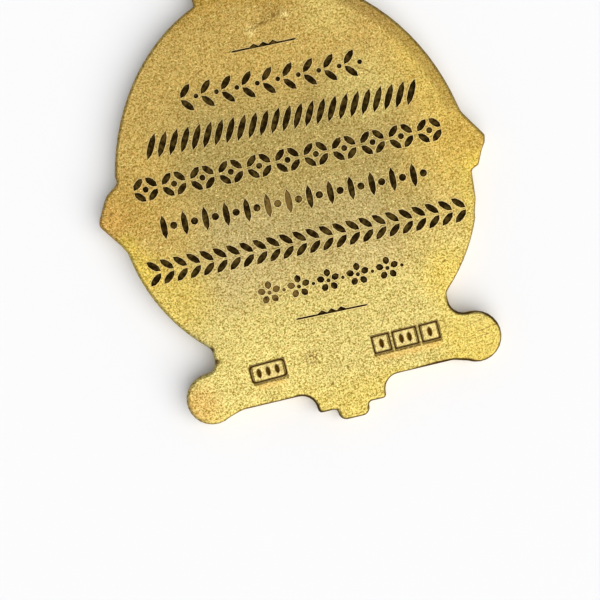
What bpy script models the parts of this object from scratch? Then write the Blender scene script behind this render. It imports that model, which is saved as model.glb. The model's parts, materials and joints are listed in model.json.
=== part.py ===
"""Lodge medal: a struck gilt plate with an engraved back, and its suspension ring.

It is modelled as it lies, face down. Lengths are metres, +Z is up and out of the engraved back,
+Y runs towards the ring and +X to the right of the back as it is read. The origin is on the
surface that the medal lies on, under the middle of its outer box.
"""
import math

import bmesh
import bpy
from mathutils import Matrix, Vector

MM = 0.001

# Oval body: its lower half is half a circle, its upper half rises as half an ellipse
BODY_RADIUS = 16.1 * MM
BODY_RISE = 19.1 * MM
PLATE_THICKNESS = 2.4 * MM
BACK_ROUND = 0.28 * MM
FRONT_ROUND = 0.2 * MM

# Side points, which stand out of the body's left and right edge
SIDE_REACH = 2.0 * MM
SIDE_SPAN = 6.1 * MM
SIDE_HEIGHT = 1.0 * MM
SIDE_CORNER = 0.45 * MM

# Foot: a bar with a round lobe at each end and a stepped tip below its middle
NECK_ANGLE = math.radians(46.9)
NECK_DROP = 2.3 * MM
NECK_DEPTH = 0.24 * MM
NECK_ROUND = 1.36 * MM
LOBE_RADIUS = 2.29 * MM
LOBE_OUT = 1.1 * MM
LOBE_PROUD = 0.7 * MM
LOBE_ROOT = 0.8 * MM
LOBE_ROOT_ROUND = 1.75 * MM
STEP_HALF_WIDTH = 3.12 * MM
STEP_DROP = 1.87 * MM
STEP_HOLLOW = 1.6 * MM
STEP_CORNER = 0.4 * MM
TIP_HALF_WIDTH = 1.42 * MM
TIP_DROP = 1.1 * MM
TIP_ROUND = 0.85 * MM
FOOT_SHIFT = 0.42 * MM
FOOT_TURN = math.radians(-0.35)

# Stepped top that carries the eyelet
TOP_HALF_WIDTH = 5.1 * MM
TOP_LIFT = 1.4 * MM
TOP_CORNER = 0.5 * MM
TOP_HOLLOW = 1.5 * MM
CROWN_HALF_WIDTH = 2.1 * MM
CROWN_LIFT = 2.3 * MM
CROWN_ROUND = 1.4 * MM

# Sunk field of the front, with a raised line round its middle
RIM_WIDTH = 2.0 * MM
FIELD_DEPTH = 0.8 * MM
FIELD_SLOPE = 0.4 * MM
LINE_INSET = 3.4 * MM
LINE_WIDTH = 0.6 * MM
LINE_HEIGHT = 0.4 * MM

# Ring and eyelet
RING_INNER_RADIUS = 3.5 * MM
RING_WIRE_RADIUS = 0.6 * MM
RING_CLEARANCE = 0.3 * MM
EYELET_WIRE_RADIUS = 0.42 * MM
EYELET_SINK = 0.3 * MM

# Engraving of the back
ENGRAVE_DEPTH = 0.15 * MM
ROW_HEIGHT = 2.4 * MM
CUT_WIDTH = 0.62 * MM
LEAF_SHOULDER = 0.28
LEAF_FULLNESS = 0.82
DOT_RADIUS = 0.3 * MM
ROW_SLOPE = math.radians(-1.9)
RULE_WIDTH = 0.18 * MM
RULE_PEAK = 0.36 * MM
RULE_PITCH = 0.88 * MM
RULE_PEAK_BASE = 0.8 * MM

# Small punched frames at the foot
FRAME_HEIGHT = 1.72 * MM
FRAME_LINE = 0.22 * MM
FRAME_CORNER = 0.34 * MM
FRAME_FREE = 0.22 * MM
MARK_WIDTH = 0.36 * MM

# Steps of the round stretches, and the angle left free where the body meets a side point
BODY_STEP = math.radians(4.0)
BODY_JOIN = math.radians(2.0)
ROUND_STEP = math.radians(15.0)
ROUND_LIMIT = 0.96
INSET_LIMIT = 0.8
FIELD_SIDES = 40
RING_SIDES = 40
EYELET_SIDES = 20
WIRE_SIDES = 8
DOT_SIDES = 8
CUTTER_MARGIN = 0.4 * MM

# Side points from the lowest corner up: place along SIDE_SPAN, reach out of the body as a
# share of SIDE_REACH, and rounding as a share of SIDE_CORNER
RIGHT_SIDE = (
    (-1.09, -0.06, 3.4),
    (-0.89, -0.07, 3.8),
    (-0.47, -0.21, 1.0),
    (-0.43, 0.13, 0.8),
    (-0.23, 0.39, 1.9),
    (-0.12, 0.61, 0.8),
    (-0.02, 0.69, 0.9),
    (0.17, 0.36, 3.0),
    (0.39, 0.02, 3.1),
)
LEFT_SIDE = (
    (-0.47, 0.01, 1.4),
    (-0.34, 0.19, 2.2),
    (-0.20, 0.47, 1.0),
    (-0.01, 0.89, 0.8),
    (0.07, 0.90, 1.8),
    (0.32, 0.57, 1.7),
    (0.42, 0.41, 1.6),
    (0.56, -0.12, 1.3),
)

# Ornament of one cell of each pattern, as shares of ROW_HEIGHT. A leaf is a pointed cut:
# its middle, its length and its turn in degrees. A dot is its middle and its size.
SPRIG = {
    "pitch": 0.70,
    "leaves": ((-0.12, 0.27, 0.64, 48), (-0.12, -0.27, 0.64, -48)),
    "dots": ((0.25, 0.0, 0.8),),
}
CABLE = {"pitch": 0.42, "leaves": ((0.0, 0.0, 1.04, 64),), "dots": ()}
LOZENGE = {
    "pitch": 1.0,
    "leaves": ((-0.25, 0.24, 0.56, 45), (0.25, 0.24, 0.56, -45),
               (-0.25, -0.24, 0.56, -45), (0.25, -0.24, 0.56, 45)),
    "dots": ((0.0, 0.0, 1.0),),
}
SPINDLE = {"pitch": 0.74, "leaves": ((-0.18, 0.0, 0.92, 90),), "dots": ((0.19, 0.0, 1.2),)}
WHEAT_EAR = {
    "pitch": 0.50,
    "leaves": ((0.0, 0.25, 0.64, -42), (0.0, -0.25, 0.64, 42)),
    "dots": (),
}
PETALS = 5
PETAL_REACH = 0.29
PETAL_LENGTH = 0.32
PETAL_TURNS = [90 + index * 360 / PETALS for index in range(PETALS)]
ROSETTE = {
    "pitch": 1.1,
    "leaves": tuple((PETAL_REACH * math.cos(math.radians(turn)),
                     PETAL_REACH * math.sin(math.radians(turn)), PETAL_LENGTH, turn)
                    for turn in PETAL_TURNS),
    "dots": ((0.0, 0.0, 0.7), (0.55, 0.0, 0.6)),
}

# Rows of ornament: height, left end and right end as shares of BODY_RADIUS, and the pattern
ROWS = (
    (0.625, -0.515, 0.526, SPRIG),
    (0.402, -0.760, 0.775, CABLE),
    (0.175, -0.893, 0.870, LOZENGE),
    (-0.050, -0.796, 0.732, SPINDLE),
    (-0.289, -0.911, 0.886, WHEAT_EAR),
    (-0.524, -0.366, 0.467, ROSETTE),
)

# Rules above and below the rows: height, middle and length as shares of BODY_RADIUS
RULES = ((0.823, 0.010, 0.373), (-0.699, 0.028, 0.410))

# Punched frames: their height as a share of BODY_RADIUS, then for each its left side and width as
# such shares, its corner share, the marks in it, and its turn in degrees, as struck by hand
PUNCH_HEIGHT = -0.934
PUNCHES = (
    (-0.497, 0.209, 1.0, 3, 1.5),
    (0.199, 0.109, 0.3, 1, 0.8),
    (0.316, 0.146, 0.3, 2, 0.4),
    (0.471, 0.113, 0.3, 1, 1.1),
)


def clear_scene():
    for item in list(bpy.data.objects):
        bpy.data.objects.remove(item, do_unlink=True)


def metal(name, colour, roughness):
    """A plain metal finish."""
    material = bpy.data.materials.new(name)
    material.use_nodes = True
    shader = material.node_tree.nodes["Principled BSDF"]
    shader.inputs["Base Color"].default_value = (*colour, 1.0)
    shader.inputs["Metallic"].default_value = 1.0
    shader.inputs["Roughness"].default_value = roughness
    material.diffuse_color = (*colour, 1.0)
    return material


def new_object(name, mesh_builder, material=None):
    """An object from a bmesh, which is freed."""
    mesh = bpy.data.meshes.new(name)
    bmesh.ops.recalc_face_normals(mesh_builder, faces=mesh_builder.faces[:])
    mesh_builder.to_mesh(mesh)
    mesh_builder.free()
    item = bpy.data.objects.new(name, mesh)
    bpy.context.collection.objects.link(item)
    if material:
        mesh.materials.append(material)
    return item


def turned(points, angle):
    """Points turned about the origin."""
    cosine, sine = math.cos(angle), math.sin(angle)
    return [(x * cosine - y * sine, x * sine + y * cosine) for x, y in points]


def moved(points, spot):
    return [(spot[0] + x, spot[1] + y) for x, y in points]


def on_row(points, height):
    """Points along a row or rule, which slopes a little, at its height on the back."""
    return moved(turned(points, ROW_SLOPE), (0.0, height * BODY_RADIUS))


def arc(middle, radius, start, end, step):
    """Points on a circle from start to end."""
    count = max(2, math.ceil(abs(end - start) / step))
    angles = [start + (end - start) * index / count for index in range(count + 1)]
    return [(middle[0] + radius * math.cos(a), middle[1] + radius * math.sin(a)) for a in angles]


def body_point(angle, inset=0.0):
    """A point of the oval body's edge, counted from +X, or inset from it."""
    rise = BODY_RISE if math.sin(angle) > 0 else BODY_RADIUS
    return ((BODY_RADIUS - inset) * math.cos(angle), (rise - inset) * math.sin(angle))


def body_angle(height):
    """The angle at which the right side of the body's edge reaches a height."""
    rise = BODY_RISE if height > 0 else BODY_RADIUS
    return math.asin(height / rise)


def body_stretch(start, end):
    """The body's edge between two angles."""
    count = max(2, math.ceil(abs(end - start) / BODY_STEP))
    return [body_point(start + (end - start) * index / count) for index in range(count + 1)]


def rounded(corners):
    """A closed outline with each corner (x, y, radius) rounded by an arc.

    Where two arcs want more than the straight between them, both get smaller in proportion.
    """
    sides, half_turns, reaches = [], [], []
    for index, (x, y, radius) in enumerate(corners):
        corner = Vector((x, y))
        before = Vector(corners[index - 1][:2]) - corner
        after = Vector(corners[(index + 1) % len(corners)][:2]) - corner
        half_turn = (math.pi - before.angle(after)) / 2
        sides.append((corner, before, after))
        half_turns.append(half_turn)
        reaches.append(radius * math.tan(half_turn))
    outline = []
    for index, (corner, before, after) in enumerate(sides):
        half_turn = half_turns[index]
        if reaches[index] == 0 or half_turn < ROUND_STEP / 4:
            outline.append(tuple(corner))
            continue
        shares = [1.0]
        for straight, other in ((before, index - 1), (after, (index + 1) % len(corners))):
            wanted = reaches[index] + reaches[other]
            shares.append(ROUND_LIMIT * straight.length / wanted)
        reach = reaches[index] * min(shares)
        radius = reach / math.tan(half_turn)
        start = corner + before.normalized() * reach
        inward = (before.normalized() + after.normalized()).normalized()
        middle = corner + inward * math.hypot(radius, reach)
        first = math.atan2(start.y - middle.y, start.x - middle.x)
        side = 1 if before.x * after.y - before.y * after.x < 0 else -1
        outline += arc(middle, radius, first, first + side * 2 * half_turn, ROUND_STEP)
    return outline


def side_corners(table, side):
    """The corners of one side point, from the lowest up; side is 1 on the right, -1 on the left."""
    corners = []
    for place, reach, corner in table:
        height = SIDE_HEIGHT + place * SIDE_SPAN
        edge = body_point(body_angle(height))[0]
        corners.append((side * (edge + reach * SIDE_REACH), height, corner * SIDE_CORNER))
    return corners


def foot_corners():
    """Right half of the foot from its tip to its lobe, before its shift and turn."""
    neck_x, neck_y = body_point(-NECK_ANGLE)
    lobe = (neck_x + LOBE_OUT, neck_y - NECK_DROP - LOBE_RADIUS)
    flat = lobe[1] - LOBE_RADIUS + LOBE_PROUD
    step = flat - STEP_DROP
    half_chord = math.sqrt(LOBE_RADIUS ** 2 - (LOBE_RADIUS - LOBE_PROUD) ** 2)
    start = -math.pi + math.atan2(LOBE_RADIUS - LOBE_PROUD, half_chord)
    corners = [
        (TIP_HALF_WIDTH, step - TIP_DROP, TIP_ROUND),
        (TIP_HALF_WIDTH, step, STEP_CORNER),
        (STEP_HALF_WIDTH, step, STEP_CORNER),
        (STEP_HALF_WIDTH, flat, STEP_HOLLOW),
        (lobe[0] - half_chord - LOBE_ROOT, flat, LOBE_ROOT_ROUND),
    ]
    lobe_edge = arc(lobe, LOBE_RADIUS, start + ROUND_STEP, math.pi / 2, ROUND_STEP)
    return corners + [(x, y, 0.0) for x, y in lobe_edge]


def placed_foot(side):
    """One half of the foot where it sits on the medal, with the neck above its lobe."""
    corners = foot_corners()
    spots = turned([(side * x + FOOT_SHIFT, y) for x, y, _ in corners], FOOT_TURN)
    foot = [(x, y, corner[2]) for (x, y), corner in zip(spots, corners)]
    neck_x, neck_y = body_point(-NECK_ANGLE)
    foot.append((side * (neck_x - NECK_DEPTH), foot[-1][1], NECK_ROUND))
    foot.append((side * (neck_x - NECK_DEPTH), neck_y - NECK_DEPTH, NECK_ROUND))
    return foot


def top_corners():
    """Right half of the stepped top, from the body up."""
    top = BODY_RISE + TOP_LIFT
    return [
        (TOP_HALF_WIDTH, top, TOP_CORNER),
        (CROWN_HALF_WIDTH, top, TOP_HOLLOW),
        (CROWN_HALF_WIDTH, top + CROWN_LIFT, CROWN_ROUND),
    ]


def plate_outline():
    """The plate's outline, counter-clockwise from the right of the tip."""
    right_side = side_corners(RIGHT_SIDE, 1)
    left_side = side_corners(LEFT_SIDE, -1)
    top_angle = math.acos(TOP_HALF_WIDTH / BODY_RADIUS)

    def edge(low, high):
        return [(x, y, 0.0) for x, y in body_stretch(low, high)]

    def mirrored(corners):
        return [(-x, y, radius) for x, y, radius in reversed(corners)]

    outline = placed_foot(1)
    outline += edge(-NECK_ANGLE, body_angle(right_side[0][1]) - BODY_JOIN)
    outline += right_side
    outline += edge(body_angle(right_side[-1][1]) + BODY_JOIN, top_angle)
    outline += top_corners()
    outline += mirrored(top_corners())
    outline += mirrored(edge(body_angle(left_side[-1][1]) + BODY_JOIN, top_angle))
    outline += reversed(left_side)
    outline += mirrored(edge(-NECK_ANGLE, body_angle(left_side[0][1]) - BODY_JOIN))
    outline += reversed(placed_foot(-1))
    return rounded(outline)


def inset_outline(outline, inset):
    """The outline moved inwards, less at tight outward corners so that it never folds."""
    points = [Vector(point) for point in outline]
    straights = [points[(index + 1) % len(points)] - point for index, point in enumerate(points)]
    normals = []
    for index, straight in enumerate(straights):
        along = straights[index - 1].normalized() + straight.normalized()
        normals.append(Vector((-along.y, along.x)).normalized())
    rooms = []
    for index, straight in enumerate(straights):
        closing = normals[index] - normals[(index + 1) % len(normals)]
        shrink = straight.dot(closing) / straight.length_squared
        rooms.append(INSET_LIMIT / shrink if shrink * inset > INSET_LIMIT else inset)
    return [tuple(point + normals[index] * min(rooms[index - 1], rooms[index]))
            for index, point in enumerate(points)]


def add_loop(builder, points, height):
    return [builder.verts.new((x, y, height)) for x, y in points]


def bridge(builder, lower, upper):
    for index in range(len(lower)):
        builder.faces.new((lower[index - 1], lower[index], upper[index], upper[index - 1]))


def stacked(builder, layers):
    """A closed body through outlines of equally many points, each (points, height), from below."""
    loops = [add_loop(builder, points, height) for points, height in layers]
    for lower, upper in zip(loops, loops[1:]):
        bridge(builder, lower, upper)
    builder.faces.new(reversed(loops[0]))
    builder.faces.new(loops[-1])


def struck_plate(material, outline):
    """The plate, rounded along both edges."""
    quarter = 1 - math.sqrt(0.5)
    layers = [
        (inset_outline(outline, FRONT_ROUND), 0.0),
        (inset_outline(outline, FRONT_ROUND * quarter), FRONT_ROUND * quarter),
        (outline, FRONT_ROUND),
        (outline, PLATE_THICKNESS - BACK_ROUND),
        (inset_outline(outline, BACK_ROUND * quarter), PLATE_THICKNESS - BACK_ROUND * quarter),
        (inset_outline(outline, BACK_ROUND), PLATE_THICKNESS),
    ]
    builder = bmesh.new()
    stacked(builder, layers)
    return new_object("medal_plate", builder, material)


def as_cutter(item):
    item.hide_render = True
    item.display_type = "WIRE"
    return item


def field_cutter():
    """Sinks the front's oval field and leaves a raised line round its middle."""
    line_middle = RIM_WIDTH + LINE_INSET
    profile = (
        (RIM_WIDTH, -CUTTER_MARGIN),
        (RIM_WIDTH, 0.0),
        (RIM_WIDTH + FIELD_SLOPE, FIELD_DEPTH),
        (line_middle - LINE_WIDTH, FIELD_DEPTH),
        (line_middle - LINE_WIDTH / 2, FIELD_DEPTH - LINE_HEIGHT),
        (line_middle + LINE_WIDTH / 2, FIELD_DEPTH - LINE_HEIGHT),
        (line_middle + LINE_WIDTH, FIELD_DEPTH),
    )
    turn = 2 * math.pi / FIELD_SIDES
    layers = [([body_point(index * turn, inset) for index in range(FIELD_SIDES)], height)
              for inset, height in profile]
    builder = bmesh.new()
    stacked(builder, layers)
    return as_cutter(new_object("field_cutter", builder))


def engraved(builder, points):
    """One engraved cut with upright walls."""
    floor = PLATE_THICKNESS - ENGRAVE_DEPTH
    stacked(builder, [(points, floor), (points, PLATE_THICKNESS + CUTTER_MARGIN)])


def leaf_outline(length, width):
    """A pointed cut along X."""
    half, shoulder = length / 2, length * LEAF_SHOULDER
    side, flank = width / 2, width / 2 * LEAF_FULLNESS
    return [(-half, 0.0), (-shoulder, -flank), (0.0, -side), (shoulder, -flank),
            (half, 0.0), (shoulder, flank), (0.0, side), (-shoulder, flank)]


def dot_outline(radius):
    turn = 2 * math.pi / DOT_SIDES
    return [(radius * math.cos(i * turn), radius * math.sin(i * turn)) for i in range(DOT_SIDES)]


def ornament_row(builder, height, left, right, pattern):
    """One row of ornament, spread evenly between its two ends."""
    length = (right - left) * BODY_RADIUS
    count = max(1, math.floor(length / (pattern["pitch"] * ROW_HEIGHT)))
    for index in range(count):
        middle = left * BODY_RADIUS + (index + 0.5) * length / count
        for x, y, size, turn in pattern["leaves"]:
            leaf = turned(leaf_outline(size * ROW_HEIGHT, CUT_WIDTH), math.radians(turn))
            spot = (middle + x * ROW_HEIGHT, y * ROW_HEIGHT)
            engraved(builder, on_row(moved(leaf, spot), height))
        for x, y, size in pattern["dots"]:
            spot = (middle + x * ROW_HEIGHT, y * ROW_HEIGHT)
            engraved(builder, on_row(moved(dot_outline(size * DOT_RADIUS), spot), height))


def rule_outline(length):
    """A thin rule with three small peaks on the middle of its upper side."""
    half, side = length / 2, RULE_WIDTH / 2
    points = [(-half, 0.0), (-half + RULE_WIDTH, -side), (half - RULE_WIDTH, -side), (half, 0.0),
              (half - RULE_WIDTH, side)]
    for middle in (RULE_PITCH, 0.0, -RULE_PITCH):
        points += [(middle + RULE_PEAK_BASE / 2, side), (middle, RULE_PEAK),
                   (middle - RULE_PEAK_BASE / 2, side)]
    return points + [(-half + RULE_WIDTH, side)]


def frame_outline(width, height, corner):
    return rounded([(width / 2, -height / 2, corner), (width / 2, height / 2, corner),
                    (-width / 2, height / 2, corner), (-width / 2, -height / 2, corner)])


def punched_frame(builder, left, width, corner, marks, turn):
    """A sunk frame line round a raised middle, with upright lozenges side by side in it."""
    width = width * BODY_RADIUS
    spot = (left * BODY_RADIUS + width / 2, PUNCH_HEIGHT * BODY_RADIUS)

    def struck(points):
        return moved(turned(points, math.radians(turn)), spot)

    floor = PLATE_THICKNESS - ENGRAVE_DEPTH
    top = PLATE_THICKNESS + CUTTER_MARGIN
    loops = []
    for line in (0.0, 2 * FRAME_LINE):
        edge = frame_outline(width - line, FRAME_HEIGHT - line, corner * FRAME_CORNER)
        loops.append([add_loop(builder, struck(edge), height) for height in (floor, top)])
    (outer_floor, outer_top), (inner_floor, inner_top) = loops
    bridge(builder, outer_floor, outer_top)
    bridge(builder, inner_top, inner_floor)
    bridge(builder, inner_floor, outer_floor)
    bridge(builder, outer_top, inner_top)
    taken = 2 * (FRAME_LINE + FRAME_FREE)
    mark = turned(leaf_outline(FRAME_HEIGHT - taken, MARK_WIDTH), math.pi / 2)
    for index in range(marks):
        aside = (width - taken) * ((index + 0.5) / marks - 0.5)
        engraved(builder, struck(moved(mark, (aside, 0.0))))


def engraving_cutter():
    """All the engraved cuts of the back as one cutter."""
    builder = bmesh.new()
    for row in ROWS:
        ornament_row(builder, *row)
    for height, middle, length in RULES:
        rule = moved(rule_outline(length * BODY_RADIUS), (middle * BODY_RADIUS, 0.0))
        engraved(builder, on_row(rule, height))
    for punch in PUNCHES:
        punched_frame(builder, *punch)
    return as_cutter(new_object("engraving_cutter", builder))


def wire_ring(name, mean_radius, wire_radius, sides):
    """A closed ring of round wire about Z."""
    bpy.ops.mesh.primitive_torus_add(
        major_radius=mean_radius, minor_radius=wire_radius,
        major_segments=sides, minor_segments=WIRE_SIDES)
    item = bpy.context.active_object
    item.name = name
    item.data.name = name
    item.data.shade_smooth()
    return item


def eyelet_middle():
    """The middle of the eyelet's hole: above the crown, and high enough to clear the floor."""
    hole_radius = RING_WIRE_RADIUS + RING_CLEARANCE
    height = BODY_RISE + TOP_LIFT + CROWN_LIFT + hole_radius + EYELET_SINK
    return Vector((0.0, height, hole_radius + 2 * EYELET_WIRE_RADIUS))


def eyelet():
    """The eyelet, its hole looking sideways, to be joined to the plate."""
    mean_radius = RING_WIRE_RADIUS + RING_CLEARANCE + EYELET_WIRE_RADIUS
    item = wire_ring("eyelet", mean_radius, EYELET_WIRE_RADIUS, EYELET_SIDES)
    item.data.transform(Matrix.Translation(eyelet_middle()) @ Matrix.Rotation(math.pi / 2, 4, "Y"))
    return as_cutter(item)


def suspension_ring(material):
    """The ring, through the eyelet and leaning down until its far side lies on the floor."""
    mean_radius = RING_INNER_RADIUS + RING_WIRE_RADIUS
    item = wire_ring("suspension_ring", mean_radius, RING_WIRE_RADIUS, RING_SIDES)
    hole = eyelet_middle()
    lean = math.asin((hole.z - RING_WIRE_RADIUS) / (2 * mean_radius))
    place = Matrix.Translation(hole) @ Matrix.Rotation(-lean, 4, "X")
    item.data.transform(place @ Matrix.Translation((0.0, mean_radius, 0.0)))
    item.data.materials.append(material)
    return item


def combine(item, other, operation):
    modifier = item.modifiers.new(other.name, "BOOLEAN")
    modifier.operation = operation
    modifier.solver = "EXACT"
    modifier.object = other


def centre_on_origin(items):
    """Moves all pieces so that the middle of their outer box lies over the origin."""
    corners = [vertex.co for item in items if not item.hide_render for vertex in item.data.vertices]
    for axis in (0, 1):
        low = min(corner[axis] for corner in corners)
        high = max(corner[axis] for corner in corners)
        shift = Vector((0.0, 0.0, 0.0))
        shift[axis] = -(low + high) / 2
        for item in items:
            item.data.transform(Matrix.Translation(shift))


def build():
    clear_scene()
    gilt = metal("frosted_gilt", (0.62, 0.42, 0.12), 0.45)
    bright_gilt = metal("bright_gilt", (0.68, 0.47, 0.15), 0.25)
    outline = plate_outline()
    plate = struck_plate(gilt, outline)
    loop = eyelet()
    field = field_cutter()
    engraving = engraving_cutter()
    ring = suspension_ring(bright_gilt)
    combine(plate, loop, "UNION")
    combine(plate, field, "DIFFERENCE")
    combine(plate, engraving, "DIFFERENCE")
    centre_on_origin([plate, ring, loop, field, engraving])


build()
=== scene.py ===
"""Lodge medal: its gilt plate, waxed engraving and wire ring, on a pale floor in soft light.

The medal lies face down: +Z is up and out of the engraved back, +Y runs towards the ring, and +X
is to the right of the back as it is read. Lengths are millimetres. The pieces are modelled in
millimetres too, because filling and joining lose cuts this fine in metres, and then brought to
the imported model's metres.
"""
import json
import math
from collections import namedtuple
from contextlib import contextmanager

import bmesh
import bpy
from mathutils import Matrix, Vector


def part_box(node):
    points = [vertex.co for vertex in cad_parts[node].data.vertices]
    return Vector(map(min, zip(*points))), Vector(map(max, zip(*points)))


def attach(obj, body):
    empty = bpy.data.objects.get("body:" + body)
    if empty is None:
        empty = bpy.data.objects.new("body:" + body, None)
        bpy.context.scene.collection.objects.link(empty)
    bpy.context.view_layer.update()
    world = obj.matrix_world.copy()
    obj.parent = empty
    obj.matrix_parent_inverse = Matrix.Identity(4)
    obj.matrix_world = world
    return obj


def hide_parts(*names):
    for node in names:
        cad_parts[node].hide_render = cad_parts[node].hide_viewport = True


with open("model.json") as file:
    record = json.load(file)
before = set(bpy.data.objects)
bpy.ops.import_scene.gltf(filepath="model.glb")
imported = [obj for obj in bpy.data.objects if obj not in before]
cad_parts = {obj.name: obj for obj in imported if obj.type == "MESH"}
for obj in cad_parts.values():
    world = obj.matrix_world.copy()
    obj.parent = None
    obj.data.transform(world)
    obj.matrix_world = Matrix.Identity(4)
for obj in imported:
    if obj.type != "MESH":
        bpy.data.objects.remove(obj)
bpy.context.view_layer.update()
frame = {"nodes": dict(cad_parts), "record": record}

METRES = 0.001

# Distances, turns and slopes too small to matter
HAIR = 0.001
SAME_PLANE = math.radians(0.2)
LEVEL = 0.999

# Sizes that the CAD part gives
MOUNTS = {mount["name"]: Vector(mount["pos_m"]) / METRES for mount in frame["record"]["mounts"]}
BACK = MOUNTS["back_face"].z
PLATE_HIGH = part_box("medal_plate")[1] / METRES
RING_LOW, RING_HIGH = [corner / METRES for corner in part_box("suspension_ring")]
CUT_DEPTH = 0.15
FRONT_ROUND = 0.2
BACK_ROUND = 0.28
RING_WIRE_RADIUS = 0.6
EYELET_WIRE_RADIUS = 0.42

# Oval body: radius of its round lower half, rise of its upper half, and from the middle between
# them to the top of the eyelet
BODY_RADIUS = 16.1
BODY_RISE = 19.1
EYELET_TOP = 25.74
BODY_MIDDLE = Vector(((RING_LOW.x + RING_HIGH.x) / 2, PLATE_HIGH.y - EYELET_TOP, BACK))

# Softening of the plate's outer ridges, and the angles between the faces at such a ridge
EDGE_SOFTENING = 0.035
EDGE_STEPS = 3
RIDGE_LEAST = math.radians(15)
RIDGE_MOST = math.radians(60)

# Lip that the graver threw up along each cut, and the wax that fills the cuts
LIP_RADIUS = 0.05
LIP_OUT = 0.03
LIP_SINK = 0.03
WAX_BELOW = 0.04
WAX_EDGE = 0.065
WAX_DIP = 0.025

# Smooth eyelet over the CAD part's plainer one, and the half sizes of the bead of solder at its
# foot, with how far below the eyelet's middle it sits
EYELET_COVER = 0.02
EYELET_SIDES = 72
EYELET_WIRE_SIDES = 24
SOLDER_REACH = Vector((0.62, 0.40, 0.95))
SOLDER_DROP = 1.2
SOLDER_SIDES = 32
SOLDER_RINGS = 20

# Ring of round wire, with its closing seam
RING_SIDES = 128
WIRE_SIDES = 28
SEAM_GAP = 0.05
SEAM_ROUND = 0.05
SEAM_STEPS = 2
SEAM_CORNER = math.radians(60)
SEAM_PLACE = math.radians(35)

# Angles up to which the faces of each piece are shaded as one round surface
PLATE_SMOOTH = math.radians(20)
LIP_SMOOTH = math.radians(60)
WAX_SMOOTH = math.radians(50)
WIRE_SMOOTH = math.radians(40)

# Camera: straight above, turned so that the medal leans as it does in the photograph, and aimed
# below the oval's middle, because the photograph cuts off the top
CAMERA_TURN = math.radians(-13.73)
CAMERA_AIM = BODY_MIDDLE + Vector((-2.063, -9.564, 0))
VIEW_WIDTH = 53.45
LENS = 100.0
SENSOR = 36.0
NEAR_CLIP = 10.0

# Floor, sky by its tones low down and overhead, and the one wide soft lamp at the lower right, by
# the way towards it along the floor and its lift above the floor
FLOOR_SIZE = 3000.0
FLOOR_WHITE = (0.843, 0.845, 0.848, 1.0)
SKY_LOW = (0.435, 0.465, 0.51, 1.0)
SKY_HIGH = (0.345, 0.368, 0.40, 1.0)
SKY_HIGH_FROM = 0.85
KEY_SIDE = Vector((0.519, -0.855, 0.0))
KEY_LIFT = math.radians(57)
KEY_SPREAD = math.radians(76)
KEY_POWER = 2.95
KEY_COLOUR = (1.0, 0.965, 0.93)


def only(piece):
    """Makes one piece the selected and active one."""
    bpy.ops.object.select_all(action="DESELECT")
    bpy.context.view_layer.objects.active = piece
    piece.select_set(True)


@contextmanager
def editing(piece, mode="FACE"):
    """Edit mode on one piece, with nothing of its mesh selected."""
    only(piece)
    bpy.ops.object.mode_set(mode="EDIT")
    bpy.ops.mesh.select_mode(type=mode)
    bpy.ops.mesh.select_all(action="DESELECT")
    yield
    bpy.ops.object.mode_set(mode="OBJECT")


def choose(piece, kind, test):
    """Selects the verts, edges or faces that pass a test."""
    mesh = bmesh.from_edit_mesh(piece.data)
    for item in getattr(mesh, kind):
        if test(item):
            item.select_set(True)
    bmesh.update_edit_mesh(piece.data)


def set_in_place(piece):
    """Puts a piece's place into its mesh."""
    only(piece)
    bpy.ops.object.transform_apply(location=True, rotation=True, scale=True)
    return piece


def rescaled(piece, scale):
    """A piece with its mesh brought to another unit."""
    piece.scale = (scale, scale, scale)
    return set_in_place(piece)


def primitive(add, **sizes):
    """A new primitive, alone selected, with its place in its mesh."""
    bpy.ops.object.select_all(action="DESELECT")
    add(**sizes)
    return set_in_place(bpy.context.active_object)


def join_solid(piece, other):
    """Makes one closed skin of two overlapping solids."""
    only(piece)
    modifier = piece.modifiers.new("join", "BOOLEAN")
    modifier.operation = "UNION"
    modifier.solver = "EXACT"
    modifier.object = other
    bpy.ops.object.modifier_apply(modifier=modifier.name)
    bpy.data.objects.remove(other, do_unlink=True)


def smooth_by_angle(piece, angle):
    """Shades a piece smooth, apart from its edges that are sharper than an angle."""
    only(piece)
    bpy.ops.object.shade_smooth_by_angle(angle=angle)


def dress(piece, material, record_slot, *replaced):
    """Brings a finished piece to metres, and fixes it on the medal's one body."""
    rescaled(piece, METRES)
    piece.data.materials.append(material)
    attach(piece, "root")
    if replaced:
        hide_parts(*replaced)


def copied_node(node, name):
    """A piece with a copy of a CAD node's mesh, its triangles joined into whole flat faces."""
    piece = bpy.data.objects.new(name, frame["nodes"][node].data.copy())
    piece.data.name = name
    piece.data.materials.clear()
    bpy.context.collection.objects.link(piece)
    rescaled(piece, 1 / METRES)
    with editing(piece):
        bpy.ops.mesh.select_all(action="SELECT")
        bpy.ops.mesh.remove_doubles(threshold=HAIR)
        bpy.ops.mesh.dissolve_limited(angle_limit=SAME_PLANE)
    return piece


def faces_up_at(face, height):
    """Whether a face is level, faces up and lies at a height."""
    return face.normal.z > LEVEL and abs(face.calc_center_median().z - height) < HAIR


def on_back(face):
    return faces_up_at(face, BACK)


def on_cut_floor(face):
    return faces_up_at(face, BACK - CUT_DEPTH)


def outer_ridge(edge):
    """Whether an edge is a level ridge of the plate's rounded outer edges, below the back itself."""
    low, high = sorted(vert.co.z for vert in edge.verts)
    near_front = high < FRONT_ROUND + HAIR
    near_back = BACK - BACK_ROUND - HAIR < low and high < BACK - HAIR
    if high - low > HAIR or not (near_front or near_back) or len(edge.link_faces) != 2:
        return False
    return RIDGE_LEAST < edge.calc_face_angle() < RIDGE_MOST


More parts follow.
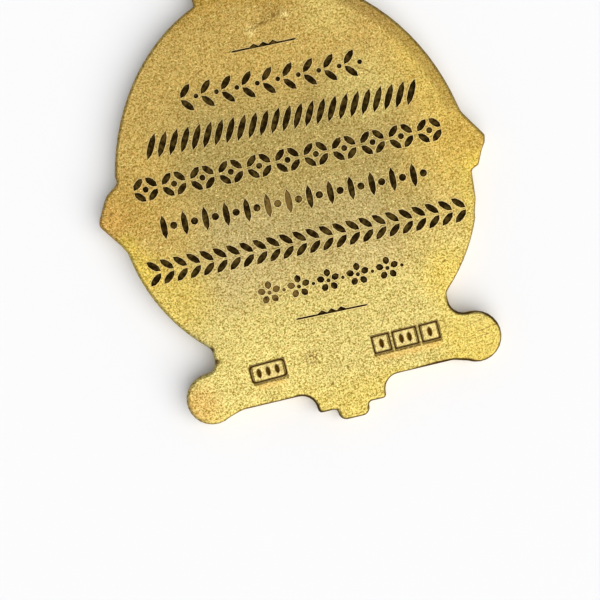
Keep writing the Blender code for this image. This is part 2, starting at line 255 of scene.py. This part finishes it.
def round_eyelet():
    """A smooth wire loop round the CAD part's plainer eyelet, and the solder at its foot.

    The eyelet stands on edge with its lowest point on the floor.
    """
    middle = Vector((BODY_MIDDLE.x, PLATE_HIGH.y - PLATE_HIGH.z / 2, PLATE_HIGH.z / 2))
    loop = primitive(
        bpy.ops.mesh.primitive_torus_add,
        major_radius=middle.z - EYELET_WIRE_RADIUS - EYELET_COVER / 2,
        minor_radius=EYELET_WIRE_RADIUS + EYELET_COVER,
        major_segments=EYELET_SIDES, minor_segments=EYELET_WIRE_SIDES,
        location=middle, rotation=(0, math.pi / 2, 0))
    foot = Vector((middle.x, middle.y - SOLDER_DROP, BACK / 2))
    bead = primitive(
        bpy.ops.mesh.primitive_uv_sphere_add,
        segments=SOLDER_SIDES, ring_count=SOLDER_RINGS, radius=1,
        location=foot, scale=SOLDER_REACH)
    join_solid(loop, bead)
    return loop


def gilt_plate():
    """The struck plate with its outer edges softened and a smooth round eyelet."""
    piece = copied_node("medal_plate", "gilt_plate")
    with editing(piece, "EDGE"):
        choose(piece, "edges", outer_ridge)
        bpy.ops.mesh.bevel(offset=EDGE_SOFTENING, segments=EDGE_STEPS, clamp_overlap=False)
    join_solid(piece, round_eyelet())
    with editing(piece, "EDGE"):
        choose(piece, "edges", lambda edge: any(on_back(face) for face in edge.link_faces))
        bpy.ops.mesh.mark_sharp()
    smooth_by_angle(piece, PLATE_SMOOTH)
    return piece


def cut_floors(name):
    """A piece with the flat floors of the cuts only."""
    piece = copied_node("medal_plate", name)
    with editing(piece):
        choose(piece, "faces", lambda face: not on_cut_floor(face))
        bpy.ops.mesh.delete(type="FACE")
    return piece


def cut_lips():
    """The fine raised lip along every cut, as a thin wire half sunk in the back."""
    piece = cut_floors("cut_lips")
    with editing(piece):
        bpy.ops.mesh.select_all(action="SELECT")
        bpy.ops.mesh.region_to_loop()
        rise = (0, 0, CUT_DEPTH - LIP_SINK)
        bpy.ops.mesh.extrude_region_move(TRANSFORM_OT_translate={"value": rise})
    with editing(piece):
        choose(piece, "faces", on_cut_floor)
        bpy.ops.mesh.delete(type="FACE")
        bpy.ops.mesh.select_all(action="SELECT")
        bpy.ops.transform.shrink_fatten(value=LIP_OUT)
    with editing(piece, "VERT"):
        choose(piece, "verts", lambda vert: vert.co.z < BACK - CUT_DEPTH / 2)
        bpy.ops.mesh.delete(type="VERT")
    bpy.ops.object.convert(target="CURVE")
    piece.data.bevel_depth = LIP_RADIUS
    piece.data.bevel_resolution = 1
    bpy.ops.object.convert(target="MESH")
    smooth_by_angle(piece, LIP_SMOOTH)
    return piece


def engraving_wax():
    """The black wax that fills the cuts, a little below the back and hollow along its middle."""
    piece = cut_floors("engraving_wax")
    with editing(piece):
        bpy.ops.mesh.select_all(action="SELECT")
        rise = (0, 0, CUT_DEPTH - WAX_BELOW)
        bpy.ops.mesh.extrude_region_move(TRANSFORM_OT_translate={"value": rise})
        bpy.ops.mesh.inset(thickness=WAX_EDGE)
        bpy.ops.transform.translate(value=(0, 0, -WAX_DIP))
        bpy.ops.mesh.select_all(action="SELECT")
        bpy.ops.mesh.normals_make_consistent(inside=False)
    smooth_by_angle(piece, WAX_SMOOTH)
    return piece


def wire_ring():
    """The ring of round wire, bent shut with a fine seam, leaning from the eyelet to the floor."""
    mean_radius = (RING_HIGH.x - RING_LOW.x) / 2 - RING_WIRE_RADIUS
    drop = RING_HIGH.z - RING_LOW.z - 2 * RING_WIRE_RADIUS
    lean = math.asin(drop / (2 * mean_radius))
    turn = 2 * math.pi - SEAM_GAP / mean_radius
    piece = primitive(
        bpy.ops.mesh.primitive_circle_add,
        vertices=WIRE_SIDES, radius=RING_WIRE_RADIUS, fill_type="NGON",
        location=(mean_radius, 0, 0), rotation=(math.pi / 2, 0, 0))
    piece.name = piece.data.name = "wire_ring"
    with editing(piece):
        bpy.ops.mesh.select_all(action="SELECT")
        bpy.ops.mesh.spin(steps=RING_SIDES, angle=turn, center=(0, 0, 0), axis=(0, 0, 1))
        bpy.ops.mesh.select_all(action="SELECT")
        bpy.ops.mesh.remove_doubles(threshold=HAIR)
        bpy.ops.mesh.normals_make_consistent(inside=False)
    with editing(piece, "EDGE"):
        choose(piece, "edges", lambda edge: edge.calc_face_angle(0) > SEAM_CORNER)
        bpy.ops.mesh.bevel(offset=SEAM_ROUND, segments=SEAM_STEPS, clamp_overlap=False)
    piece.rotation_euler.z = SEAM_PLACE
    set_in_place(piece)
    piece.rotation_euler.x = -lean
    piece.location = (RING_LOW + RING_HIGH) / 2
    set_in_place(piece)
    smooth_by_angle(piece, WIRE_SMOOTH)
    return piece


def tone(red, green, blue):
    """A colour from its 0 to 255 screen values."""
    shares = [value / 255 for value in (red, green, blue)]
    return (*[s / 12.92 if s < 0.04045 else ((s + 0.055) / 1.055) ** 2.4 for s in shares], 1.0)


class Shade:
    """A shader value that plain sums can be written with."""

    def __init__(self, finish, socket):
        self.finish = finish
        self.socket = socket

    def __add__(self, other):
        return self.finish.maths("ADD", self, other)

    def __sub__(self, other):
        return self.finish.maths("SUBTRACT", self, other)

    def __rsub__(self, other):
        return self.finish.maths("SUBTRACT", other, self)

    def __mul__(self, other):
        return self.finish.maths("MULTIPLY", self, other)

    __radd__ = __add__
    __rmul__ = __mul__


class Finish:
    """One material, and the nodes that its shader reads.

    x, y and z are millimetres from the middle of the oval's round lower half, on the back, and
    flat is the same spot with its height left out.
    """

    def __init__(self, name, **sockets):
        self.material = bpy.data.materials.new(name)
        self.material.use_nodes = True
        self.shader = self.material.node_tree.nodes["Principled BSDF"]
        for socket, value in sockets.items():
            self.set(socket.replace("_", " "), value)
        place = self.add("ShaderNodeTexCoord", output="Object")
        self.spot = self.add(
            "ShaderNodeVectorMath", {"operation": "MULTIPLY_ADD"},
            {0: place, 1: (1 / METRES, 1 / METRES, 1 / METRES), 2: -BODY_MIDDLE})
        self.x, self.y, self.z = [
            self.add("ShaderNodeSeparateXYZ", {}, {0: self.spot}, axis) for axis in "XYZ"]
        self.flat = self.add("ShaderNodeCombineXYZ", {}, {0: self.x, 1: self.y})

    def set(self, socket, value):
        self.connect(self.shader.inputs[socket], value)

    def connect(self, socket, value):
        if isinstance(value, Shade):
            self.material.node_tree.links.new(value.socket, socket)
        else:
            socket.default_value = value

    def add(self, kind, settings=None, values=None, output=0):
        """Adds a node with its settings, then the values or links of its sockets."""
        node = self.material.node_tree.nodes.new(kind)
        for name, value in (settings or {}).items():
            setattr(node, name, value)
        for socket, value in (values or {}).items():
            self.connect(node.inputs[socket], value)
        return Shade(self, node.outputs[output])

    def maths(self, operation, first, second):
        return self.add("ShaderNodeMath", {"operation": operation}, {0: first, 1: second})

    def rising(self, value, low, high):
        """0 up to low and 1 from high on, or the other way where high is the lower one."""
        return self.add("ShaderNodeMapRange", {"interpolation_type": "SMOOTHSTEP"},
                        {"Value": value, "From Min": low, "From Max": high})

    def band(self, value, low, high, soft):
        """1 between low and high, with both ends softened by soft to either side."""
        past_low = self.rising(value, low - soft, low + soft)
        return past_low * self.rising(value, high + soft, high - soft)

    def near(self, x, y, inner, outer):
        """1 within inner millimetres of a spot of the back, and 0 from outer on."""
        away = self.add("ShaderNodeVectorMath", {"operation": "DISTANCE"},
                        {0: self.flat, 1: (x, y, 0)}, "Value")
        return self.rising(away, outer, inner)

    def noise(self, size, detail=2.0, roughness=0.5, stretch=(1, 1, 1)):
        """Noise whose lumps are about a size in millimetres."""
        where = self.add("ShaderNodeVectorMath", {"operation": "MULTIPLY"},
                         {0: self.spot, 1: [share / size for share in stretch]})
        values = {"Vector": where, "Scale": 1.0, "Detail": detail, "Roughness": roughness}
        return self.add("ShaderNodeTexNoise", {}, values, "Fac")

    def crystals(self, size):
        """A different even value from 0 to 1 on every small facet of about a size in millimetres."""
        where = self.add("ShaderNodeVectorMath", {"operation": "SCALE"},
                         {0: self.spot, "Scale": 1 / size})
        facets = self.add("ShaderNodeTexVoronoi", {}, {"Vector": where, "Scale": 1.0}, "Color")
        return self.add("ShaderNodeSeparateColor", {}, {0: facets})

    def scratch(self, x, y, turn, length, width):
        """1 along a straight scratch whose middle is at x and y, turned from +X in degrees."""
        cosine = math.cos(math.radians(turn))
        sine = math.sin(math.radians(turn))
        along = (self.x - x) * cosine + (self.y - y) * sine
        across = (self.y - y) * cosine - (self.x - x) * sine
        return (self.band(along, low=-length / 2, high=length / 2, soft=length / 4)
                * self.band(across, low=-width / 2, high=width / 2, soft=width / 2))

    def mix(self, factor, first, second, blend="MIX"):
        """Two colours mixed."""
        return self.add("ShaderNodeMix", {"data_type": "RGBA", "blend_type": blend},
                        {0: factor, 6: first, 7: second}, 2)

    def bump(self, height, depth, strength=1.0):
        """Bumps of a height from 0 to 1 that stands for a depth in millimetres."""
        values = {"Height": height, "Distance": depth * METRES, "Strength": strength}
        self.set("Normal", self.add("ShaderNodeBump", {}, values))


# Tones of the gilding, from its darker top to the bright foot (partly a painted reflection of the
# lamp), and of its edge and wire
CROWN_GILT = tone(180, 145, 63)
TOP_GILT = tone(196, 168, 92)
DULL_GILT = tone(161, 146, 89)
ROSE_GILT = tone(188, 172, 119)
LEMON_GILT = tone(197, 183, 111)
YELLOW_GILT = tone(200, 180, 86)
SUNNY_GILT = tone(212, 188, 84)
RIM_GILT = tone(205, 180, 89)
ORANGE_GILT = tone(214, 164, 84)
BARE_GILT = tone(226, 204, 146)
PALE_GILT = tone(222, 206, 122)
GLINT_GILT = tone(250, 230, 154)
WALL_GILT = tone(200, 178, 128)
WIRE_GILT = tone(214, 170, 84)
WIRE_BRIGHT = tone(240, 208, 130)

# Tones of dirt, wax and tarnish; the edge's tarnish and the pits' brown also serve as painted shade,
# and the wax's grey partly as painted sheen
EDGE_TARNISH_AND_SHADE = tone(92, 70, 30)
PIT_AND_SHADE_BROWN = tone(116, 84, 34)
PUNCH_BROWN = tone(76, 50, 0)
WAX_DARK = tone(30, 19, 0)
WAX_GREY_AND_SHEEN = tone(80, 63, 24)
WAX_WORN = tone(116, 92, 44)

# What the grain and the faint tints multiply the gilding's tone by
SPECK_DARK = (0.40, 0.335, 0.03, 1.0)
SPECK_LIGHT = (1.30, 1.32, 1.58, 1.0)
ROSY = (1.10, 0.93, 0.90, 1.0)
GREENISH = (0.92, 1.06, 1.0, 1.0)

# Frosted grain: sizes of its lumps and crystals, the crystals' share, and its depth
GRAIN_SIZE = 0.18
CRYSTAL_SIZE = 0.1
CRYSTAL_SHARE = 0.24
GRAIN_DEPTH = 0.03

# Round patches of another tone on the back
Patch = namedtuple("Patch", "x y reach share tone")
PATCHES = (
    Patch(16.3, 1.2, 4.5, 0.45, CROWN_GILT),
    Patch(-15.4, 2.0, 4.2, 0.5, CROWN_GILT),
    Patch(-13.2, -6.9, 5.0, 0.5, SUNNY_GILT),
    Patch(11.5, -10.7, 3.8, 0.6, SUNNY_GILT),
    Patch(0.0, -3.8, 5.0, 0.4, DULL_GILT),
    Patch(7.5, -1.6, 6.5, 0.3, DULL_GILT),
    Patch(8.0, 7.8, 4.5, 0.4, PALE_GILT),
    Patch(6.3, 15.0, 3.5, 0.4, PALE_GILT),
    Patch(-7.0, -16.0, 8.0, 0.4, PALE_GILT),
    Patch(13.2, -16.0, 4.5, 0.3, PALE_GILT),
    Patch(-16.9, 1.2, 2.4, 0.35, ORANGE_GILT),
    Patch(-12.9, -16.6, 2.6, 0.45, ORANGE_GILT),
    Patch(-16.0, -1.5, 1.8, 0.8, SUNNY_GILT),
    Patch(-14.9, -3.8, 2.6, 0.8, SUNNY_GILT),
    Patch(16.0, -1.4, 1.8, 0.7, SUNNY_GILT),
    Patch(2.6, 15.5, 0.6, 0.6, GLINT_GILT),
    Patch(-0.6, 14.8, 0.8, 0.35, GLINT_GILT),
)

# Fields inside the punched frames and the two groups that they stand in, each from left to
# right, their middle's height, and the height below which only the punches have cuts
PUNCH_FIELDS = ((-7.6, -5.0), (3.5, 4.6), (5.4, 7.1), (7.9, 9.1))
PUNCH_GROUPS = ((-7.6, -5.0), (3.3, 9.2))
PUNCH_MIDDLE = -15.04
PUNCH_HALF_HEIGHT = 0.6
ROWS_END = -13.2
PUNCHES_BEGIN = -13.6

# How far the brown smear reaches past those fields, further below and to the right
SMEAR_LEFT = 0.32
SMEAR_RIGHT = 0.42
SMEAR_BELOW = 0.48
SMEAR_ABOVE = 0.36

# Small pits in the back and nicks in the left neck, by their middles, with how wide they are
# at full depth and in all
PITS = ((-1.0, -17.5), (0.7, -16.4), (-16.6, 1.85), (2.5, 15.1), (-4.9, -4.1), (11.3, -9.2))
PIT_REACH = (0.05, 0.22)
NICKS = ((-10.75, -12.0), (-10.5, -13.2))
NICK_REACH = (0.1, 0.4)

# Rubbed places: scuffs on the back, and wax worn thin
Spot = namedtuple("Spot", "x y inner outer share")
SCUFFS = (Spot(-2.2, -14.8, 0.3, 1.1, 1.0), Spot(1.4, 15.9, 0.4, 1.6, 0.5))
WORN_WAX = (Spot(-4.0, -8.3, 1.2, 3.4, 0.4), Spot(-1.5, -0.9, 1.0, 3.4, 0.4))

# Fine scratches, mostly on the right lobe, by their middles, turned in degrees
Scratch = namedtuple("Scratch", "x y turn length width")
SCRATCHES = (
    Scratch(0.9, 15.4, 17, 3.2, 0.36),
    Scratch(13.6, -15.9, 8, 3.6, 0.1),
    Scratch(12.6, -16.5, 3, 2.2, 0.09),
    Scratch(12.9, -15.1, 14, 2.4, 0.09),
    Scratch(3.9, -16.6, -38, 1.3, 0.1),
    Scratch(4.8, -12.9, 60, 1.6, 0.08),
    Scratch(-6.2, 12.2, 24, 2.8, 0.08),
    Scratch(8.4, 9.0, -35, 2.2, 0.08),
    Scratch(-13.4, -2.6, 70, 1.8, 0.08),
)

# Heights on the rounded edge at which its tarnish and painted shade and the bare side wall begin and
# are full, and the spots where the edge is darkest, from painted shade and tarnish
EDGE_DARK_FROM = -0.03
EDGE_DARK_FULL = -0.10
WALL_FROM = -0.26
WALL_FULL = -0.40
EdgeSpot = namedtuple("EdgeSpot", "x y reach")
DARK_EDGES = (
    EdgeSpot(-3.6, -18.8, 1.9),
    EdgeSpot(11.3, -13.8, 1.7),
    EdgeSpot(14.5, -14.8, 1.6),
    EdgeSpot(9.6, -18.1, 3.2),
)


def gilt_colour(finish):
    """The gilding's tone over the back, before its grain, partly a painted reflection of the lamp.
    """
    drift = (finish.noise(6.0, detail=1.0) - 0.5) * 5.0
    x = finish.x + drift
    y = finish.y + drift
    # Darker at the top and in the middle, brighter towards the foot and the rim: partly the
    # gilding's own uneven tone, partly a painted reflection of the lamp at the lower right
    colour = finish.mix(finish.rising(y, 1.0, -12.0), TOP_GILT, LEMON_GILT)
    colour = finish.mix(finish.rising(y, 15.5, 19.5), colour, CROWN_GILT)
    lobe = finish.rising(x, 7.5, 12.0) * finish.rising(y, -12.0, -15.5)
    foot = finish.rising(y, -16.5, -19.0)
    colour = finish.mix(lobe + foot * 0.6, colour, YELLOW_GILT)
    rows = (finish.band(x, low=-10.0, high=10.5, soft=3.0)
            * finish.band(y, low=-6.5, high=9.0, soft=3.5))
    colour = finish.mix(rows * 0.75, colour, DULL_GILT)
    low_rows = (finish.band(x, low=-9.5, high=8.0, soft=2.5)
                * finish.band(y, low=-8.5, high=-0.5, soft=2.0))
    colour = finish.mix(low_rows * 0.6, colour, ROSE_GILT)
    right = finish.rising(x, 9.5, 14.0) * finish.band(y, low=-3.0, high=14.0, soft=2.0)
    colour = finish.mix(right * 0.7, colour, RIM_GILT)
    low_right = (finish.rising(finish.x, 12.6, 15.2)
                 * finish.band(y, low=-10.5, high=-1.5, soft=1.5))
    colour = finish.mix(low_right * 0.6, colour, YELLOW_GILT)
    for patch in PATCHES:
        near = finish.near(patch.x, patch.y, patch.reach / 4, patch.reach)
        colour = finish.mix(near * patch.share, colour, patch.tone)
    return colour


def tinted(finish, colour):
    """Faint rosy and greenish tints, and thin brown clouds."""
    tint = finish.mix(finish.noise(0.4, detail=1.0), ROSY, GREENISH)
    colour = finish.mix(1.0, colour, tint, "MULTIPLY")
    clouds = finish.rising(finish.noise(1.4), 0.35, 0.65)
    return finish.mix(clouds * 0.1, colour, PIT_AND_SHADE_BROWN)


def frosted_grain(finish):
    """The height of the frosted grain, from 0 to 1."""
    lumps = finish.noise(GRAIN_SIZE, roughness=0.65)
    return lumps * (1 - CRYSTAL_SHARE) + finish.crystals(CRYSTAL_SIZE) * CRYSTAL_SHARE


def grained(finish, colour, grain):
    """Dark and light specks of the grain, strongest on the foot, and pale glints."""
    foot = finish.rising(finish.y, 2.0, -9.0)
    lobe = finish.rising(finish.x, 9.0, 12.0) * finish.rising(finish.y, -11.0, -14.0)
    contrast = 0.78 + 0.15 * foot - 0.25 * lobe
    speck = (finish.rising(grain, 0.31, 0.63) - 0.5) * contrast + 0.5
    dark = finish.mix(1.0, colour, SPECK_DARK, "MULTIPLY")
    light = finish.mix(1.0, colour, SPECK_LIGHT, "MULTIPLY")
    colour = finish.mix(speck, dark, light)
    level = finish.noise(0.36, detail=1.0, stretch=(1.0, 2.8, 1.0))
    upright = finish.noise(0.32, detail=1.0, stretch=(2.4, 1.0, 1.0))
    glint = finish.rising(level, 0.63, 0.72) + finish.rising(upright, 0.65, 0.74)
    return finish.mix(glint * 0.6, colour, GLINT_GILT)


def punch_marks(finish, colour):
    """Brown smear round the punched frames, paler fields inside, and a painted warm shadow below."""
    rise = finish.y - PUNCH_MIDDLE
    low, high = -PUNCH_HALF_HEIGHT, PUNCH_HALF_HEIGHT
    inside = 0.0
    outside = 0.0
    for left, right in PUNCH_FIELDS:
        inside = finish.band(finish.x, left, right, soft=0.08) + inside
        outside = finish.band(finish.x, left - SMEAR_LEFT, right + SMEAR_RIGHT, soft=0.12) + outside
    inside = finish.band(rise, low, high, soft=0.08) * inside
    outside = finish.band(rise, low - SMEAR_BELOW, high + SMEAR_ABOVE, soft=0.12) * outside
    smear = finish.rising((outside - inside) * 0.62 + finish.noise(0.22) * 0.6, 0.66, 0.94)
    colour = finish.mix(inside * 0.35, colour, BARE_GILT)
    # Painted warm shadow in a line just below the punched groups
    below = 0.0
    for left, right in PUNCH_GROUPS:
        below = finish.band(finish.x, left, right, soft=0.5) + below
    below = finish.band(rise, low=-1.5, high=-0.95, soft=0.2) * below
    colour = finish.mix(below * 0.35, colour, ORANGE_GILT)
    return finish.mix(smear * 0.8, colour, PUNCH_BROWN)


def marked(finish, colour):
    """The brown freckles, pits, nicks, scratches and scuffs of the back."""
    freckles = finish.rising(finish.noise(0.24, detail=1.0), 0.66, 0.73)
    colour = finish.mix(freckles * 0.35, colour, PIT_AND_SHADE_BROWN)
    for x, y in PITS:
        colour = finish.mix(finish.near(x, y, *PIT_REACH) * 0.8, colour, PIT_AND_SHADE_BROWN)
    for x, y in NICKS:
        colour = finish.mix(finish.near(x, y, *NICK_REACH) * 0.9, colour, EDGE_TARNISH_AND_SHADE)
    broken = finish.rising(finish.noise(0.3), 0.40, 0.54) * 0.8
    for scratch in SCRATCHES:
        colour = finish.mix(finish.scratch(*scratch) * broken, colour, PIT_AND_SHADE_BROWN)
    scuffed = 0.0
    for scuff in SCUFFS:
        near = finish.near(scuff.x, scuff.y, scuff.inner, scuff.outer)
        scuffed = near * scuff.share + scuffed
    scuffed = scuffed * finish.rising(finish.noise(0.22), 0.45, 0.6)
    return finish.mix(scuffed * 0.8, colour, PIT_AND_SHADE_BROWN)


def shaded_crescent(finish):
    """Painted shade in a browner half-moon just inside the oval's upper right edge, turned from the
    lamp.

    The oval's upper half is first pressed to a half circle, so that one distance from its middle
    fits all along the edge.
    """
    pressed_y = finish.y * (BODY_RADIUS / BODY_RISE)
    pressed = finish.add("ShaderNodeCombineXYZ", {}, {0: finish.x, 1: pressed_y})
    away = finish.add("ShaderNodeVectorMath", {"operation": "LENGTH"}, {0: pressed}, "Value")
    right = finish.rising(finish.x, 2.0, 6.0)
    upper = finish.rising(finish.y, 2.5, 5.0)
    return finish.band(away, low=15.0, high=16.6, soft=0.3) * right * upper


def edge_tarnish_and_shade(finish):
    """Tarnish and painted shade on the rounded edge, thickest on the foot, lower right and dark
    spots.
    """
    wear = (finish.noise(0.8) - 0.5) * 0.06
    foot = finish.rising(finish.x, -11.5, -8.0) * finish.rising(finish.y, -11.5, -14.0)
    lower_right = finish.rising(finish.x - finish.y * 0.6, -4.0, 8.0)
    share = 0.35 + 0.5 * foot + 0.2 * lower_right
    for spot in DARK_EDGES:
        dark = finish.near(spot.x, spot.y, spot.reach / 2, spot.reach)
        wear = wear - 0.03 * dark
        share = share + 0.4 * dark
    return finish.rising(finish.z + wear, EDGE_DARK_FROM, EDGE_DARK_FULL) * share


def frosted_gilt():
    """Struck metal with a fine frosted grain under its gilding, and bare smooth side walls."""
    gilt = Finish("frosted_gilt", Metallic=1.0)
    grain = frosted_grain(gilt)
    colour = grained(gilt, tinted(gilt, gilt_colour(gilt)), grain)
    colour = marked(gilt, punch_marks(gilt, colour))
    # Painted shade just inside the oval's upper right edge, in the pits' brown
    colour = gilt.mix(shaded_crescent(gilt) * 0.4, colour, PIT_AND_SHADE_BROWN)
    # Darkening of the rounded edge: partly tarnish, partly painted shade
    tarnish_and_shade = edge_tarnish_and_shade(gilt)
    colour = gilt.mix(tarnish_and_shade * 0.85, colour, EDGE_TARNISH_AND_SHADE)
    wall = gilt.rising(gilt.z, WALL_FROM, WALL_FULL)
    wall_colour = gilt.mix(gilt.noise(0.7, detail=3.0) * 0.6, WALL_GILT, RIM_GILT)
    gilt.set("Base Color", gilt.mix(wall, colour, wall_colour))
    gilt.set("Roughness", 0.42 + 0.16 * gilt.noise(1.2) + 0.25 * tarnish_and_shade - 0.3 * wall)
    gilt.bump(grain, GRAIN_DEPTH, strength=0.8)
    return gilt.material


def burr_gilt():
    """The rubbed metal along the cuts, paler than the frosted back, and brown at the punches."""
    burr = Finish("burr_gilt", Metallic=1.0)
    rubbed = burr.mix(burr.noise(0.5), gilt_colour(burr), BARE_GILT)
    punched = burr.rising(burr.y, ROWS_END, PUNCHES_BEGIN)
    burr.set("Base Color", burr.mix(punched * 0.8, rubbed, PUNCH_BROWN))
    burr.set("Roughness", 0.3 + 0.2 * burr.noise(0.3))
    return burr.material


def black_wax():
    """Black-brown wax, worn thin along the middle in two rows, and brown dirt in the punches."""
    wax = Finish("black_wax", Specular_IOR_Level=0.03)
    # Grey patches, lighter in the hollow middle: partly uneven wax, partly a painted sheen
    hollow = wax.rising(wax.z, -WAX_BELOW, -WAX_BELOW - WAX_DIP)
    grey_and_sheen = wax.rising(wax.noise(0.5, detail=3.0) + hollow * 0.1, 0.52, 0.80)
    colour = wax.mix(grey_and_sheen, WAX_DARK, WAX_GREY_AND_SHEEN)
    worn = wax.noise(0.4)
    for spot in WORN_WAX:
        worn = wax.near(spot.x, spot.y, spot.inner, spot.outer) * spot.share + worn
    middle = wax.rising(wax.z, -WAX_BELOW - WAX_DIP / 2, -WAX_BELOW - WAX_DIP)
    colour = wax.mix(wax.rising(worn, 0.62, 0.90) * middle, colour, WAX_WORN)
    punched = wax.rising(wax.y, ROWS_END, PUNCHES_BEGIN)
    wax.set("Base Color", wax.mix(punched, colour, PUNCH_BROWN))
    wax.set("Roughness", 0.5 + 0.25 * wax.noise(0.3))
    wax.bump(wax.noise(0.15), depth=0.01, strength=0.5)
    return wax.material


def bright_gilt():
    """Polished wire with light wear."""
    gilt = Finish("bright_gilt", Metallic=1.0)
    gilt.set("Base Color", gilt.mix(gilt.noise(2.5, detail=3.0), WIRE_GILT, WIRE_BRIGHT))
    gilt.set("Roughness", 0.18 + 0.2 * gilt.noise(0.5, detail=3.0))
    gilt.bump(gilt.noise(0.2, detail=3.0), depth=0.005, strength=0.4)
    return gilt.material


def pale_floor():
    """A wide pale floor that the medal lies on."""
    floor = primitive(bpy.ops.mesh.primitive_plane_add, size=FLOOR_SIZE * METRES)
    floor.name = floor.data.name = "pale_floor"
    white = Finish("pale_floor", Roughness=0.9)
    white.set("Base Color", FLOOR_WHITE)
    floor.data.materials.append(white.material)


def soft_sky():
    """Even studio light, a little brighter from the sides than from overhead."""
    world = bpy.data.worlds.new("studio")
    bpy.context.scene.world = world
    world.use_nodes = True
    nodes, links = world.node_tree.nodes, world.node_tree.links
    direction = nodes.new("ShaderNodeTexCoord")
    parts = nodes.new("ShaderNodeSeparateXYZ")
    ramp = nodes.new("ShaderNodeValToRGB")
    low, high = ramp.color_ramp.elements
    low.color = SKY_LOW
    high.color = SKY_HIGH
    high.position = SKY_HIGH_FROM
    links.new(direction.outputs["Generated"], parts.inputs[0])
    links.new(parts.outputs["Z"], ramp.inputs[0])
    links.new(ramp.outputs[0], nodes["Background"].inputs["Color"])


def key_light():
    """A wide soft lamp at the lower right, far enough away to light the floor evenly."""
    bpy.ops.object.select_all(action="DESELECT")
    bpy.ops.object.light_add(type="SUN")
    lamp = bpy.context.active_object
    lamp.name = "key_light"
    towards = math.cos(KEY_LIFT) * KEY_SIDE + Vector((0, 0, math.sin(KEY_LIFT)))
    lamp.rotation_euler = towards.to_track_quat("Z", "Y").to_euler()
    lamp.data.angle = KEY_SPREAD
    lamp.data.energy = KEY_POWER
    lamp.data.color = KEY_COLOUR


def camera():
    """A long lens straight above the medal."""
    place = CAMERA_AIM + Vector((0, 0, VIEW_WIDTH * LENS / SENSOR))
    bpy.ops.object.camera_add(location=place * METRES, rotation=(0, 0, CAMERA_TURN))
    view = bpy.context.active_object
    view.data.lens = LENS
    view.data.sensor_width = SENSOR
    view.data.clip_start = NEAR_CLIP * METRES
    bpy.context.scene.camera = view


dress(gilt_plate(), frosted_gilt(), "frosted_gilt", "medal_plate")
dress(cut_lips(), burr_gilt(), "frosted_gilt")
dress(engraving_wax(), black_wax(), "frosted_gilt")
dress(wire_ring(), bright_gilt(), "bright_gilt", "suspension_ring")

pale_floor()
soft_sky()
key_light()
camera()
bpy.context.scene.view_settings.view_transform = "Standard"
